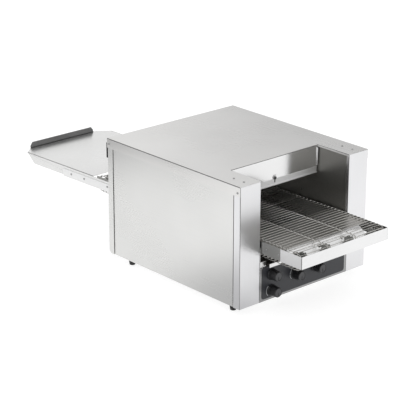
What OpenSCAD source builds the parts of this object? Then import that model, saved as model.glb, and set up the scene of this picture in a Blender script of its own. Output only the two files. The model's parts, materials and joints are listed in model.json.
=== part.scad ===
// Countertop conveyor pizza oven: a wire belt carries the food through a radiant
// tunnel between two banks of sheathed elements and out onto a sloping exit tray.
// X is across the belt, the belt feeds towards +Y, and Z is up from the counter.

/* [Casing] */
// Width over the top cover's side flanges
body_w = 540; // [520:1:560]
// Depth of the top cover, front to back
body_d = 618; // [600:1:640]
// Height of the casing above the feet
body_h = 388; // [380:1:400]
// Height of the rubber feet
foot_h = 21; // [15:1:30]
// Width of each front column, left and right of the belt
column_w = 84; // [80:1:88]
// Depth of the loading recess cut into the top at the infeed
recess_d = 135; // [120:1:150]
// Height of the cover's side flange
flange_h = 31; // [25:1:36]
// Sheet metal thickness
sheet = 1.2; // [1.0:0.1:1.2]

/* [Conveyor] */
// Width of the wire belt
belt_w = 356; // [350:1:356]
// Distance between belt rods
rod_pitch = 15.24; // [15:0.04:15.4]
// Diameter of a belt rod
rod_d = 2.2; // [1.8:0.1:2.4]
// Teeth on a belt sprocket
sprocket_teeth = 10; // [10:1:10]
// Height of the shafts above the casing's bottom
axle_z = 175.4; // [174:0.1:177]
// Reach of the infeed end in front of the casing
infeed_reach = 173; // [165:1:180]
// Height of the side rails and of the end guard
rail_h = 39; // [36:1:40]
// Shaft radius
shaft_r = 6; // [5:0.5:6]

/* [Gate] */
// Height of the gate's lower edge at rest
gate_z = 297; // [290:1:300]
// Distance that the gate can be raised
gate_travel = 13; // [5:1:13]

/* [Exit tray] */
// Length of the sloping tray
tray_l = 402; // [380:1:420]
// Slope of the tray in degrees
tray_slope = 1.5; // [1:0.1:2]
// Depth of the tray's side flanges
tray_flange_h = 33; // [28:1:34]
// Height of the end stop above the tray
stop_h = 19; // [15:1:24]

/* [Controls] */
// Width of the control panel
panel_w = 356; // [340:1:360]
// Height of the control panel
panel_h = 104; // [100:1:104]
// Knob diameter
knob_d = 37; // [32:1:38]
// Knob length in front of the panel
knob_l = 32; // [26:1:34]

/* [Hidden] */
$fn = 64;

gap = 0.2;                                  // play between neighbouring sheets
tray_start = body_d + infeed_reach + 12;    // y of the tray's near edge
overall_l = infeed_reach + tray_start + tray_l;
front_y = infeed_reach - overall_l / 2;     // y of the casing's front face
case_x = body_w / 2 - sheet - gap;          // outer face of the columns
rear_y = body_d - sheet - 0.4;              // outer face of the back
case_top = body_h - sheet - 0.4;            // top of the columns
column_x = body_w / 2 - column_w;           // inner edge of the front columns
wall_x = column_x + sheet + gap;            // inner face of the tunnel walls
wall_z = 18.4;                              // foot of the tunnel walls
panel_x = case_x - 3.7;                     // inner face of the side panels
pan_lip = 14;                               // height of the base pan's lip
pan_y = [10.5, rear_y - 11.7];              // front and back of the base pan
shelf_z = 111.2;                            // underside of the control box cover
rear_return = 24;                           // side return of the rear columns
front_return = 27;                          // side return of the front columns

belt_r = rod_pitch / (2 * sin(180 / sprocket_teeth)); // rod centres round a shaft
belt_band = 0.8;                            // thickness of the band that stands for the rods
front_axle_y = -infeed_reach + belt_r + 6.3;
rear_axle_y = body_d - front_axle_y;
rail_x = 182.4;                             // inner face of the side rails
rail_z = axle_z - 15.4;                     // lower edge of the side rails
rail_end = 165;                             // reach of a rail beyond the casing
guard_x = rail_x + 2 * sheet;               // outer face of guard and tray
guard_wing = 89;                            // length of the guard's side wings
sprocket_spots = [-148, -49, 49, 148];
sprocket_w = 10;
chain_x = 166.5;                            // middle of the chain's width
chain_r = 16.4;                             // chain centreline round a sprocket
motor_y = 60;                               // y of the gearmotor's output shaft
slider_z = 196.5;                           // top of the slider plates
slider_back = 62;                           // reach of a slider plate into the body
lip_run = 33;                               // run of a slider plate's sloping lip
element_r = 4;
upper_element_z = 325;
lower_element_z = 178;
upper_element_y = [204, 274, 344, 414];
lower_element_y = [238, 309, 380];
support_bar_y = [207, 309, 411];
roof_z = 345;

gate_slot_w = 5;
gate_screw_z = gate_z + 23.5;
knob_spots = [[-138, 82], [-138, 30], [-39, 57], [51, 57]];
stem_r = 3;
fan_spot = [-110, 60];
fan_r = 38;
gland_spot = [130, 45];
foot_spots = [for (x = [-245, 245], y = [52, 529]) [x, y]];
cover_screw_spots = [for (x = [-229, 229], y = [28, 71]) [x, y]];
flange_screw_spots = [[10.8, 368], [607, 371]];
rail_screw_spots = [[-77, 178.5], [-25, 178.5]];
rivet_spots = [[727, 175], [850, 170], [920, 168]];

// ---- helpers ----

// Puts a sub-part in the casing's own frame: y from its front face, z from its bottom.
module in_body() {
  translate([0, front_y, foot_h]) children();
}

// A square block between two opposite corners.
module block(lo, hi) {
  translate(lo) cube(hi - lo);
}

// A cylinder along X from x0 to x1.
module rod_x(r, x0, x1, y, z) {
  translate([x0, y, z]) rotate([0, 90, 0]) cylinder(r = r, h = x1 - x0);
}

// A cylinder along Y from y0 to y1.
module rod_y(r, x, y0, y1, z) {
  translate([x, y1, z]) rotate([90, 0, 0]) cylinder(r = r, h = y1 - y0);
}

// The same children on the left and on the right.
module both_sides() {
  children();
  mirror([1, 0, 0]) children();
}

// The same children at the infeed end and turned round at the exit end.
module other_end() {
  translate([0, body_d, 0]) mirror([0, 1, 0]) children();
}

// An outline in the y-z plane, carried along X from x0 to x1.
module along_x(x0, x1) {
  translate([x0, 0, 0]) rotate([90, 0, 90]) linear_extrude(x1 - x0) children();
}

// A slot shape: two round ends of radius r joined by a straight length.
module racetrack(length, r) {
  circle(r);
  translate([length, 0]) circle(r);
  translate([0, -r]) square([length, 2 * r]);
}

// A rectangle with rounded corners.
module rounded(w, h, r) {
  square([w - 2 * r, h], center = true);
  square([w, h - 2 * r], center = true);
  for (x = [-1, 1], y = [-1, 1]) translate([x * (w / 2 - r), y * (h / 2 - r)]) circle(r);
}

// Pan-head screw along +Z, its head's underside at z = 0.
module pan_screw(head_r, head_h, shank_r, shank_l) {
  cylinder(r1 = head_r, r2 = head_r * 0.7, h = head_h);
  translate([0, 0, -shank_l]) cylinder(r = shank_r, h = shank_l);
}

// ---- casing ----

module base_pan() color("silver") in_body() {
  lip_x = panel_x - gap;
  difference() {
    block([-lip_x, pan_y[0], 0], [lip_x, pan_y[1], pan_lip]);
    block([-lip_x + sheet, pan_y[0] + sheet, sheet], [lip_x - sheet, pan_y[1] - sheet, pan_lip + 1]);
    for (spot = foot_spots) translate([spot[0], spot[1], -1]) cylinder(r = 2.8, h = 4);
    for (row = [150, 400], i = [0:9]) {
      block([-99 + i * 20, row, -1], [-93 + i * 20, row + 70, 3]);
    }
  }
}

// Its hemmed front edge stands clear of the front column, and its back edge is tucked in.
module side_panel() {
  front = front_return + 5.3;
  top = case_top - 6;
  block([panel_x, front, 0], [panel_x + sheet, rear_y - rear_return + 11, top]);
  block([panel_x - sheet, front, pan_lip + 2], [panel_x, front + 10, top]);
}

module left_side_panel() color("gainsboro") in_body() mirror([1, 0, 0]) side_panel();

// The drive side breathes through a bank of slots low at the back.
module right_side_panel() color("gainsboro") in_body() difference() {
  side_panel();
  for (z = [60:14:102], y = [430:34:532]) block([panel_x - 1, y, z], [panel_x + 3, y + 24, z + 4]);
}

module front_column() {
  difference() {
    union() {
      block([column_x, 0, 0], [case_x, sheet, case_top]);
      block([case_x - sheet, 0, 0], [case_x, front_return, case_top]);
      block([column_x, 0, 0], [column_x + sheet, 10, case_top]);
    }
    rod_x(1.8, case_x - 4, case_x + 1, flange_screw_spots[0][0], flange_screw_spots[0][1]);
  }
}

module front_left_column() color("whitesmoke") in_body() mirror([1, 0, 0]) front_column();

module front_right_column() color("whitesmoke") in_body() front_column();

module rear_column() {
  inner = wall_x + sheet + gap;
  difference() {
    union() {
      block([inner, rear_y - sheet, 0], [case_x, rear_y, case_top]);
      block([case_x - sheet, rear_y - rear_return, 0], [case_x, rear_y, case_top]);
      block([inner, rear_y - 11, 0], [inner + sheet, rear_y, case_top]);
    }
    translate([0, rear_y, 0]) rotate([45, 0, 0]) cube([body_w * 2, 12, 12], center = true);
    rod_x(1.8, case_x - 4, case_x + 1, flange_screw_spots[1][0], flange_screw_spots[1][1]);
  }
}

module rear_left_column() color("gainsboro") in_body() mirror([1, 0, 0]) rear_column();

module rear_right_column() color("gainsboro") in_body() rear_column();

module top_cover() color("lightgray") in_body() {
  notch_x = column_x - 1.5;
  top = body_h;
  difference() {
    union() {
      block([-body_w / 2, 0, top - sheet], [body_w / 2, body_d, top]);
      both_sides() {
        block([body_w / 2 - sheet, 0, top - flange_h], [body_w / 2, body_d, top]);
        block([notch_x, 0, top - 6.5], [notch_x + sheet, recess_d - gap, top]);
      }
      block([-body_w / 2 + sheet, body_d - sheet, top - 12], [body_w / 2 - sheet, body_d, top]);
    }
    block([-notch_x, -1, top - 20], [notch_x, recess_d, top + 1]);
    for (spot = cover_screw_spots) translate([spot[0], spot[1], top - 4]) cylinder(r = 1.8, h = 6);
    both_sides() for (spot = flange_screw_spots) {
      rod_x(1.8, body_w / 2 - 4, body_w / 2 + 1, spot[0], spot[1]);
    }
  }
}

module rear_header() color([0.1, 0.1, 0.1]) in_body() {
  half = case_x - 0.4;
  low = 322;
  high = 372;
  depth = 7;
  difference() {
    block([-half, rear_y, low], [half, rear_y + depth, high]);
    block([-half - 1, rear_y - 1, low + sheet], [half + 1, rear_y + depth - sheet, high - sheet]);
  }
}

// Its two ends are bent forward, just clear of the inner walls.
module front_hood_wall() color("gainsboro") in_body() {
  half = wall_x - 3.4;
  low = 300;
  difference() {
    union() {
      block([-half, recess_d, low], [half, recess_d + sheet, case_top]);
      block([-half, recess_d, case_top - sheet], [half, recess_d + 14, case_top]);
    }
    rod_y(2.25, 0, recess_d - 1, recess_d + 3, gate_screw_z);
  }
  both_sides() block([half - sheet, recess_d - 4, low + 21], [half, recess_d + sheet, case_top - 8]);
}

module rear_hood_wall() color("silver") in_body() {
  half = wall_x + sheet;
  block([-half, rear_y - sheet, 300], [half, rear_y, case_top]);
}

module gate() color("lightgray") in_body() {
  back = recess_d - 0.3;
  strip_h = 20;
  tab_half = 5.5;
  slot_r = gate_slot_w / 2;
  slot_low = gate_screw_z - gate_travel;
  difference() {
    union() {
      block([-181, back - sheet, gate_z], [181, back, gate_z + strip_h]);
      block([-181, back - 3.2, gate_z], [181, back, gate_z + 4]);
      block([-tab_half, back - sheet, gate_z], [tab_half, back, gate_z + 33]);
    }
    rod_y(slot_r, 0, back - 5, back + 1, slot_low);
    rod_y(slot_r, 0, back - 5, back + 1, gate_screw_z + 0.1);
    block([-slot_r, back - 5, slot_low], [slot_r, back + 1, gate_screw_z + 0.1]);
  }
}

module gate_screw() color("dimgray") in_body() translate([0, recess_d, gate_screw_z]) {
  head_back = -1.8;
  rotate([90, 0, 0]) translate([0, 0, -head_back]) cylinder(r = 5, h = 3.4);
  rotate([90, 0, 0]) translate([0, 0, -9]) cylinder(r = 2, h = 9 - head_back);
  translate([0, sheet + 3.2, 0]) rotate([90, 0, 0]) cylinder(r = 4, h = 3.2, $fn = 6);
}

// ---- heated tunnel ----

module inner_wall(drive_side) {
  difference() {
    block([wall_x, sheet + gap, wall_z], [wall_x + sheet, rear_y - 1.5, case_top - 1.4]);
    for (y = upper_element_y) rod_x(element_r + 0.4, wall_x - 1, wall_x + 3, y, upper_element_z);
    for (y = lower_element_y) rod_x(element_r + 0.4, wall_x - 1, wall_x + 3, y, lower_element_z);
    rod_x(2.6, wall_x - 1, wall_x + 3, 205, 220);
    if (drive_side) rod_x(8, wall_x - 1, wall_x + 3, motor_y, axle_z);
  }
}

module left_inner_wall() color("gray") in_body() mirror([1, 0, 0]) inner_wall(false);

module right_inner_wall() color("gray") in_body() inner_wall(true);

module tunnel_roof() color("gray") in_body() {
  half = wall_x - gap;
  back = rear_y - 1.5;
  difference() {
    block([-half, recess_d + 2, roof_z], [half, back, roof_z + 12]);
    block([-half + sheet, recess_d + 1, roof_z + sheet], [half - sheet, back + 1, roof_z + 13]);
  }
}

module insulation() color("khaki") in_body() {
  block([-184, recess_d + 4, roof_z + sheet + gap], [184, rear_y - 4, case_top - 6]);
}

module element_row(spots, z) {
  for (y = spots) in_body() {
    rod_x(element_r, -200, 200, y, z);
    rod_x(2, -212, -200, y, z);
    rod_x(2, 200, 212, y, z);
  }
}

module upper_elements() color("dimgray") element_row(upper_element_y, upper_element_z);

module lower_elements() color("dimgray") element_row(lower_element_y, lower_element_z);

module lower_reflector() color("silver") in_body() {
  half = rail_x - 0.5;
  low = 158;
  difference() {
    block([-half, 190, low], [half, 428, low + 10]);
    block([-half + sheet, 189, low + sheet], [half - sheet, 429, low + 11]);
  }
}

// ---- control box ----

module stem_holes(r) {
  for (spot = knob_spots) rod_y(r, spot[0], -5, 40, spot[1]);
}

module control_box_front() color("gainsboro") in_body() difference() {
  block([-column_x + gap, 0, 0], [column_x - gap, sheet, shelf_z - gap]);
  stem_holes(5);
}

module control_box_cover() color("silver") in_body() {
  wide = wall_x - gap;
  narrow = column_x - gap;
  block([-wide, pan_y[0], shelf_z], [wide, pan_y[1], shelf_z + sheet]);
  block([-narrow, sheet + gap, shelf_z], [narrow, rear_y - 1.5, shelf_z + sheet]);
}

module control_panel() color([0.3, 0.3, 0.32]) in_body() difference() {
  translate([0, 0, 7 + panel_h / 2]) rotate([90, 0, 0]) linear_extrude(0.8) rounded(panel_w, panel_h, 9);
  stem_holes(5);
}

module rear_lower_panel() color("silver") in_body() difference() {
  half = wall_x + sheet;
  block([-half, rear_y - sheet, 0], [half, rear_y, shelf_z - gap]);
  rod_y(fan_r, fan_spot[0], rear_y - 3, rear_y + 1, fan_spot[1]);
  rod_y(8.2, gland_spot[0], rear_y - 3, rear_y + 1, gland_spot[1]);
  for (i = [0:6]) block([0, rear_y - 3, 30 + i * 9], [60, rear_y + 1, 34 + i * 9]);
}

module feet() color([0.1, 0.1, 0.1]) in_body() for (spot = foot_spots) {
  translate([spot[0], spot[1], -foot_h]) difference() {
    cylinder(r1 = 9, r2 = 12, h = foot_h);
    translate([0, 0, -1]) cylinder(r = 2.6, h = foot_h + 2);
    translate([0, 0, -1]) cylinder(r = 5.2, h = 9);
  }
}

module foot_screws() color("silver") in_body() for (spot = foot_spots) {
  translate([spot[0], spot[1], 0]) {
    translate([0, 0, 8 - foot_h]) mirror([0, 0, 1]) pan_screw(4.6, 3, 2.5, foot_h - 8 + sheet + 6);
    translate([0, 0, sheet]) difference() {
      cylinder(r = 4.6, h = 4, $fn = 6);
      translate([0, 0, -1]) cylinder(r = 2.5, h = 6);
    }
  }
}

// The casing's and the rails' pan-head screws, all alike.
module panel_screws() color("silver") in_body() {
  for (spot = cover_screw_spots) {
    translate([spot[0], spot[1], body_h]) pan_screw(3.4, 1.2, 1.6, 9);
  }
  both_sides() {
    for (spot = flange_screw_spots) {
      translate([body_w / 2, spot[0], spot[1]]) rotate([0, 90, 0]) pan_screw(3.4, 1.2, 1.6, 9);
    }
    for (spot = rail_screw_spots) {
      translate([rail_x + sheet, spot[0], spot[1]]) rotate([0, 90, 0]) pan_screw(3.4, 1.2, 1.6, 3);
    }
  }
}

// ---- conveyor ----

module side_rail(drive_side) {
  x0 = rail_x - 1;
  x1 = rail_x + 3;
  difference() {
    block([rail_x, -rail_end, rail_z], [rail_x + sheet, body_d + rail_end, rail_z + rail_h]);
    for (y = [front_axle_y, rear_axle_y]) rod_x(8, x0, x1, y, axle_z);
    for (y = lower_element_y) rod_x(element_r + 0.4, x0, x1, y, lower_element_z);
    for (spot = rail_screw_spots) rod_x(1.8, x0, x1, spot[0], spot[1]);
    rod_x(2.1, x0, x1, rivet_spots[0][0], rivet_spots[0][1]);
    if (drive_side) rod_x(8, x0, x1, motor_y, axle_z);
  }
}

module left_rail() color("darkgray") in_body() mirror([1, 0, 0]) side_rail(false);

module right_rail() color("darkgray") in_body() side_rail(true);

// Channel across the infeed end whose wings lap over the rails.
module end_guard() color("white") in_body() difference() {
  back = -infeed_reach + guard_wing;
  block([-guard_x, -infeed_reach, rail_z], [guard_x, back, rail_z + rail_h]);
  block([-guard_x + sheet, -infeed_reach + sheet, rail_z - 1], [guard_x - sheet, back + 1, rail_z + rail_h + 1]);
  both_sides() translate([guard_x, -infeed_reach, rail_z + rail_h]) {
    rotate([0, 0, 45]) translate([-6, -2.5, -3]) cube([12, 5, 6]);
  }
}

// Closed band in the place of the woven rods.
module wire_belt() color("slategray") in_body() {
  length = rear_axle_y - front_axle_y;
  along_x(-belt_w / 2, belt_w / 2) translate([front_axle_y, axle_z]) difference() {
    racetrack(length, belt_r + belt_band / 2);
    racetrack(length, belt_r - belt_band / 2);
  }
}

module conveyor_shaft(y) {
  in_body() rod_x(shaft_r, -rail_x - 1, rail_x + 1, y, axle_z);
}

module belt_sprockets(y) {
  root_r = belt_r - 4.2;
  tip_r = belt_r - rod_d / 2 - 0.6;
  for (x = sprocket_spots) in_body() {
    translate([x - sprocket_w / 2, y, axle_z]) rotate([90, 0, 90]) linear_extrude(sprocket_w) difference() {
      union() {
        circle(root_r);
        for (i = [0:sprocket_teeth - 1]) rotate(i * 360 / sprocket_teeth) {
          polygon([[root_r - 1, -3], [tip_r, -1.5], [tip_r, 1.5], [root_r - 1, 3]]);
        }
      }
      circle(shaft_r);
    }
  }
}

module front_shaft() color("silver") conveyor_shaft(front_axle_y);

module rear_shaft() color("silver") conveyor_shaft(rear_axle_y);

module front_sprockets() color("dimgray") belt_sprockets(front_axle_y);

module rear_sprockets() color("dimgray") belt_sprockets(rear_axle_y);

// Roller-chain sprocket of 10 teeth with its bore, across X at the chain.
module chain_wheel(y, bore_r) {
  teeth = 10;
  tip_r = chain_r - 2.4;
  in_body() translate([chain_x - 2.5, y, axle_z]) rotate([90, 0, 90]) linear_extrude(5) difference() {
    union() {
      circle(tip_r - 2.5);
      for (i = [0:teeth - 1]) rotate(i * 360 / teeth) {
        polygon([[tip_r - 4, -2.2], [tip_r, -0.8], [tip_r, 0.8], [tip_r - 4, 2.2]]);
      }
    }
    circle(bore_r);
  }
}

module chain_sprocket() color("dimgray") chain_wheel(front_axle_y, shaft_r);

module motor_sprocket() color("gray") {
  chain_wheel(motor_y, 4.9);
  in_body() rod_x(5, chain_x - 4, 214, motor_y, axle_z);
}

// Closed band in the place of the roller chain's links.
module drive_chain() color("dimgray") in_body() {
  along_x(chain_x - 3, chain_x + 3) translate([front_axle_y, axle_z]) difference() {
    racetrack(motor_y - front_axle_y, chain_r + 2);
    racetrack(motor_y - front_axle_y, chain_r - 2);
  }
}

module shaft_bushings() color("tan") in_body() {
  both_sides() for (y = [front_axle_y, rear_axle_y]) difference() {
    union() {
      rod_x(8, rail_x, rail_x + sheet, y, axle_z);
      rod_x(10, rail_x - 2, rail_x, y, axle_z);
    }
    rod_x(shaft_r + 0.05, rail_x - 3, rail_x + 3, y, axle_z);
  }
}

// Plate under the belt's upper run, with a lip sloping down towards the shaft.
module slider_plate() {
  edge_y = front_axle_y + 47;
  lip_drop = 23;
  lip_end = 138;
  difference() {
    union() {
      block([0.5 - rail_x, edge_y, slider_z - sheet], [rail_x - 0.5, slider_back, slider_z]);
      along_x(-172, lip_end) polygon([
        [edge_y, slider_z], [edge_y - lip_run, slider_z - lip_drop],
        [edge_y - lip_run + 1, slider_z - lip_drop - 1.2], [edge_y + 1, slider_z - sheet]
      ]);
    }
    for (x = sprocket_spots) {
      block([x - 9, edge_y - lip_run - 5, slider_z - 40], [x + 9, edge_y - 14, slider_z + 1]);
    }
  }
}

module front_slider_plate() color("gray") in_body() slider_plate();

module rear_slider_plate() color("gray") in_body() other_end() slider_plate();

module belt_support_bars() color("silver") in_body() {
  for (y = support_bar_y) rod_x(3, gap - rail_x, rail_x - gap, y, slider_z - 2);
}

// Angle brackets that stand on the control box cover and carry the rails.
module conveyor_bracket() {
  x = rail_x + sheet + gap;
  foot_z = shelf_z + sheet;
  difference() {
    union() {
      block([x, 0, foot_z], [x + sheet, 22, foot_z + 64]);
      block([161, 0, foot_z], [x + sheet, sheet, foot_z + 18]);
    }
    rod_y(2.5, 167, -1, 3, foot_z + 6);
  }
}

module conveyor_brackets() color("silver") in_body() both_sides() {
  translate([0, 0.5, 0]) conveyor_bracket();
  translate([0, rear_y - 0.5, 0]) mirror([0, 1, 0]) conveyor_bracket();
}

module crumb_tray() color("white") in_body() {
  low = shelf_z + sheet + 0.4;
  half = 158;
  wall_h = 9;
  front = -13.8;
  back = 600;
  difference() {
    block([-half, front, low], [half, back, low + wall_h]);
    block([-half + sheet, front + sheet, low + sheet], [half - sheet, back - sheet, low + wall_h + 1]);
  }
  block([-half - 2, front - sheet, low - 1.6], [half + 2, front, low + wall_h + 1.4]);
}

// ---- exit tray ----

// Frame of the tray: its near edge at y = 0, its upper face at z = 0.
module in_tray() {
  in_body() translate([0, tray_start, axle_z + 17.6]) rotate([-tray_slope, 0, 0]) children();
}

module rivet_holes() {
  in_body() for (spot = rivet_spots) rod_x(2.1, -guard_x - 4, guard_x + 4, spot[0], spot[1]);
}

module exit_tray() color("gainsboro") {
  corner_w = 40;
  side_l = tray_l - 36;
  tail = -103;
  difference() {
    union() {
      in_tray() translate([0, 0, -sheet]) linear_extrude(sheet) polygon([
        [-guard_x, 0], [guard_x, 0], [guard_x, side_l], [guard_x - corner_w, tray_l],
        [corner_w - guard_x, tray_l], [-guard_x, side_l]
      ]);
      both_sides() in_tray() along_x(guard_x - sheet, guard_x) polygon([
        [tail, -2], [-0.5, -2], [-0.5, 0], [side_l, 0],
        [side_l - 37, -tray_flange_h], [tail, -tray_flange_h]
      ]);
    }
    rivet_holes();
  }
}

module tray_stop() color("dimgray") in_tray() translate([-8, 0, 0]) {
  half = 138;
  foot_l = 4;
  corner = [9, 12];
  translate([0, tray_l, 0]) rotate([90, 0, 0]) linear_extrude(1.5) polygon([
    [-half, 0], [half, 0], [half, stop_h - corner.y], [half - corner.x, stop_h],
    [corner.x - half, stop_h], [-half, stop_h - corner.y]
  ]);
  block([-half, tray_l - foot_l, 0], [half, tray_l, 1.5]);
}

module tray_arm() {
  foot_top = axle_z + 10;
  difference() {
    union() {
      in_tray() block([guard_x, rear_y + sheet - tray_start, -37], [guard_x + sheet, 162, -10]);
      in_body() block([guard_x, rear_y, rail_z - 4], [guard_x + 20, rear_y + sheet, foot_top]);
    }
    rivet_holes();
  }
}

module left_tray_arm() color("white") mirror([1, 0, 0]) tray_arm();

module right_tray_arm() color("white") tray_arm();

module tray_rivets() color("silver") in_body() both_sides() for (spot = rivet_spots) {
  inner = (spot[0] < body_d + rail_end) ? 2 * sheet : sheet;
  translate([guard_x + sheet, spot[0], spot[1]]) rotate([0, 90, 0]) pan_screw(3.6, 1.4, 2, sheet + inner);
}

// ---- controls and electrics ----

module knob(spot) {
  face_r = knob_d / 2 - 4;
  in_body() translate([spot[0], -1, spot[1]]) {
    rotate([90, 0, 0]) difference() {
      union() {
        cylinder(r = knob_d / 2, h = 4);
        cylinder(r1 = knob_d / 2 - 1, r2 = face_r, h = knob_l);
        translate([0, 0, -24]) cylinder(r = stem_r, h = 30);
      }
      translate([0, 0, knob_l - 1.2]) difference() {
        cylinder(r = face_r - 2, h = 2);
        translate([-1, 0, -1]) cube([2, face_r, 4]);
      }
    }
  }
}

module top_heat_knob() color([0.12, 0.12, 0.13]) knob(knob_spots[0]);

module bottom_heat_knob() color([0.12, 0.12, 0.13]) knob(knob_spots[1]);

module power_knob() color([0.12, 0.12, 0.13]) knob(knob_spots[2]);

module speed_knob() color([0.12, 0.12, 0.13]) knob(knob_spots[3]);

module rotary_switches() color("ivory") in_body() for (spot = knob_spots) difference() {
  block([spot[0] - 16, sheet, spot[1] - 14], [spot[0] + 16, 32, spot[1] + 14]);
  rod_y(stem_r + 0.3, spot[0], 0, 26, spot[1]);
}

module gearmotor() color("darkslategray") in_body() difference() {
  union() {
    block([wall_x + sheet + 1, motor_y - 34, axle_z - 34], [224, motor_y + 34, axle_z + 34]);
    rod_x(28, 224, 262, motor_y, axle_z);
  }
  rod_x(5.1, wall_x, 216, motor_y, axle_z);
}

module fan_frame() color([0.15, 0.15, 0.16]) in_body() {
  depth = 25;
  back = rear_y - sheet - 0.3;
  translate([fan_spot[0], back, fan_spot[1]]) rotate([90, 0, 0]) {
    linear_extrude(depth) difference() {
      rounded(80, 80, 6);
      circle(fan_r);
      for (x = [-1, 1], y = [-1, 1]) translate([35.7 * x, 35.7 * y]) circle(2.2);
    }
    linear_extrude(3) difference() {
      union() {
        circle(15);
        for (a = [45:90:315]) rotate(a) translate([0, -1.5]) square([fan_r + 0.5, 3]);
      }
      circle(2.2);
    }
  }
}

module fan_rotor() color("black") in_body() {
  translate([fan_spot[0], rear_y - sheet - 4, fan_spot[1]]) rotate([90, 0, 0]) {
    cylinder(r = 2.15, h = 4);
    translate([0, 0, -3.2]) cylinder(r = 2.15, h = 4);
    cylinder(r = 14, h = 20);
    for (i = [0:6]) rotate(i * 360 / 7) translate([12, 0, 10]) rotate([40, 0, 0]) {
      translate([0, -0.8, -8]) cube([24, 1.6, 16]);
    }
  }
}

module fan_guard() color("silver") in_body() {
  translate([fan_spot[0], rear_y + 2, fan_spot[1]]) rotate([90, 0, 0]) linear_extrude(2) {
    for (r = [14:9:41]) difference() {
      circle(r);
      circle(r - 1.8);
    }
    for (a = [0:45:135]) rotate(a) square([82, 1.8], center = true);
  }
}

module cord_gland() color([0.12, 0.12, 0.12]) in_body() {
  translate([gland_spot[0], rear_y, gland_spot[1]]) rotate([90, 0, 0]) difference() {
    union() {
      translate([0, 0, -6]) cylinder(r = 12, h = 6, $fn = 6);
      translate([0, 0, -20]) cylinder(r = 9.5, h = 15);
      cylinder(r = 8, h = 11);
      translate([0, 0, sheet]) cylinder(r = 12, h = 5, $fn = 6);
    }
    translate([0, 0, -21]) cylinder(r = 5, h = 34);
  }
}

module terminal_block() color("ivory") in_body() difference() {
  block([60, 520, sheet], [124, 548, 24]);
  for (i = [0:4]) block([63 + i * 12, 519, 14], [72 + i * 12, 549, 25]);
}

base_pan();
left_side_panel();
right_side_panel();
front_left_column();
front_right_column();
rear_left_column();
rear_right_column();
top_cover();
rear_header();
front_hood_wall();
rear_hood_wall();
gate();
gate_screw();
left_inner_wall();
right_inner_wall();
tunnel_roof();
insulation();
upper_elements();
lower_elements();
lower_reflector();
control_box_front();
control_box_cover();
control_panel();
rear_lower_panel();
feet();
foot_screws();
panel_screws();
left_rail();
right_rail();
end_guard();
wire_belt();
front_shaft();
front_sprockets();
chain_sprocket();
rear_shaft();
rear_sprockets();
shaft_bushings();
front_slider_plate();
rear_slider_plate();
belt_support_bars();
conveyor_brackets();
crumb_tray();
exit_tray();
tray_stop();
left_tray_arm();
right_tray_arm();
tray_rivets();
top_heat_knob();
bottom_heat_knob();
power_knob();
speed_knob();
rotary_switches();
gearmotor();
motor_sprocket();
drive_chain();
fan_frame();
fan_rotor();
fan_guard();
cord_gland();
terminal_block();
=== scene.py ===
import json
import math

import bmesh
import bpy
import numpy as np
from mathutils import Matrix, Vector


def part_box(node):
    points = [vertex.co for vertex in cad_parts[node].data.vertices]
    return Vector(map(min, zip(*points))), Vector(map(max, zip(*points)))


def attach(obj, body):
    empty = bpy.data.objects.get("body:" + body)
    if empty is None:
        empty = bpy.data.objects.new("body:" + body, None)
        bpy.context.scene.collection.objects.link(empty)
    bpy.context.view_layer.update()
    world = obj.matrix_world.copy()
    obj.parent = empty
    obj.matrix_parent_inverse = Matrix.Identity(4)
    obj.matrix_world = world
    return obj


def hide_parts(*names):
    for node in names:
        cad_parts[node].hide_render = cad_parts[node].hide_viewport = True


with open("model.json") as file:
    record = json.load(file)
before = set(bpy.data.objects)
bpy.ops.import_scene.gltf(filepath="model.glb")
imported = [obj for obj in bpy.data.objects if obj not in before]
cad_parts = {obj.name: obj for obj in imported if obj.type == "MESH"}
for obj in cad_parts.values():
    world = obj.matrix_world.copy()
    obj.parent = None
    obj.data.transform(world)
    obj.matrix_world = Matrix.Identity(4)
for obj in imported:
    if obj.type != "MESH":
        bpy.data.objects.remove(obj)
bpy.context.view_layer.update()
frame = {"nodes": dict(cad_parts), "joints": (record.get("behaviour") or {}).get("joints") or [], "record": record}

MM = 0.001
NODES = frame["nodes"]
JOINTS = {joint["name"]: joint for joint in frame["joints"]}
BODY_OF = {node: body for body, members in frame["record"]["behaviour"]["bodies"].items()
           for node in members}
SLOT_OF = {part["node"]: part["material_slot"] for part in frame["record"]["subparts"]}


# ---- camera, light and floor ----

def add_camera():
    """Long-lens view from the front left, a little above the oven."""
    azimuth, elevation, roll = math.radians(-41.8733), math.radians(20.4346), math.radians(0.1797)
    back = Vector((math.sin(azimuth) * math.cos(elevation),
                   -math.cos(azimuth) * math.cos(elevation), math.sin(elevation)))
    level = Vector((math.cos(azimuth), math.sin(azimuth), 0))
    up = back.cross(level)
    right = level * math.cos(roll) + up * math.sin(roll)
    up = back.cross(right)
    feet_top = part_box("feet")[1].z
    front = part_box("front_left_column")[0].y
    place = Vector((-3.3944, front - 3.3465, feet_top + 2.0306))
    data = bpy.data.cameras.new("camera")
    data.sensor_width = 36
    data.lens = 145.395
    data.clip_end = 100
    camera = bpy.data.objects.new("camera", data)
    bpy.context.scene.collection.objects.link(camera)
    camera.matrix_world = Matrix((
        (right.x, up.x, back.x, place.x), (right.y, up.y, back.y, place.y),
        (right.z, up.z, back.z, place.z), (0, 0, 0, 1)))
    bpy.context.scene.camera = camera


def add_softbox(name, place, aim, size, radiance):
    """A big square area light that faces a point, bright enough to mirror as a pale card."""
    data = bpy.data.lights.new(name, "AREA")
    data.shape = "RECTANGLE"
    data.size, data.size_y = size
    data.energy = radiance * math.pi * size[0] * size[1]
    light = bpy.data.objects.new(name, data)
    bpy.context.scene.collection.objects.link(light)
    light.location = place
    light.rotation_euler = (Vector(aim) - Vector(place)).to_track_quat("-Z", "Y").to_euler()


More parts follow.
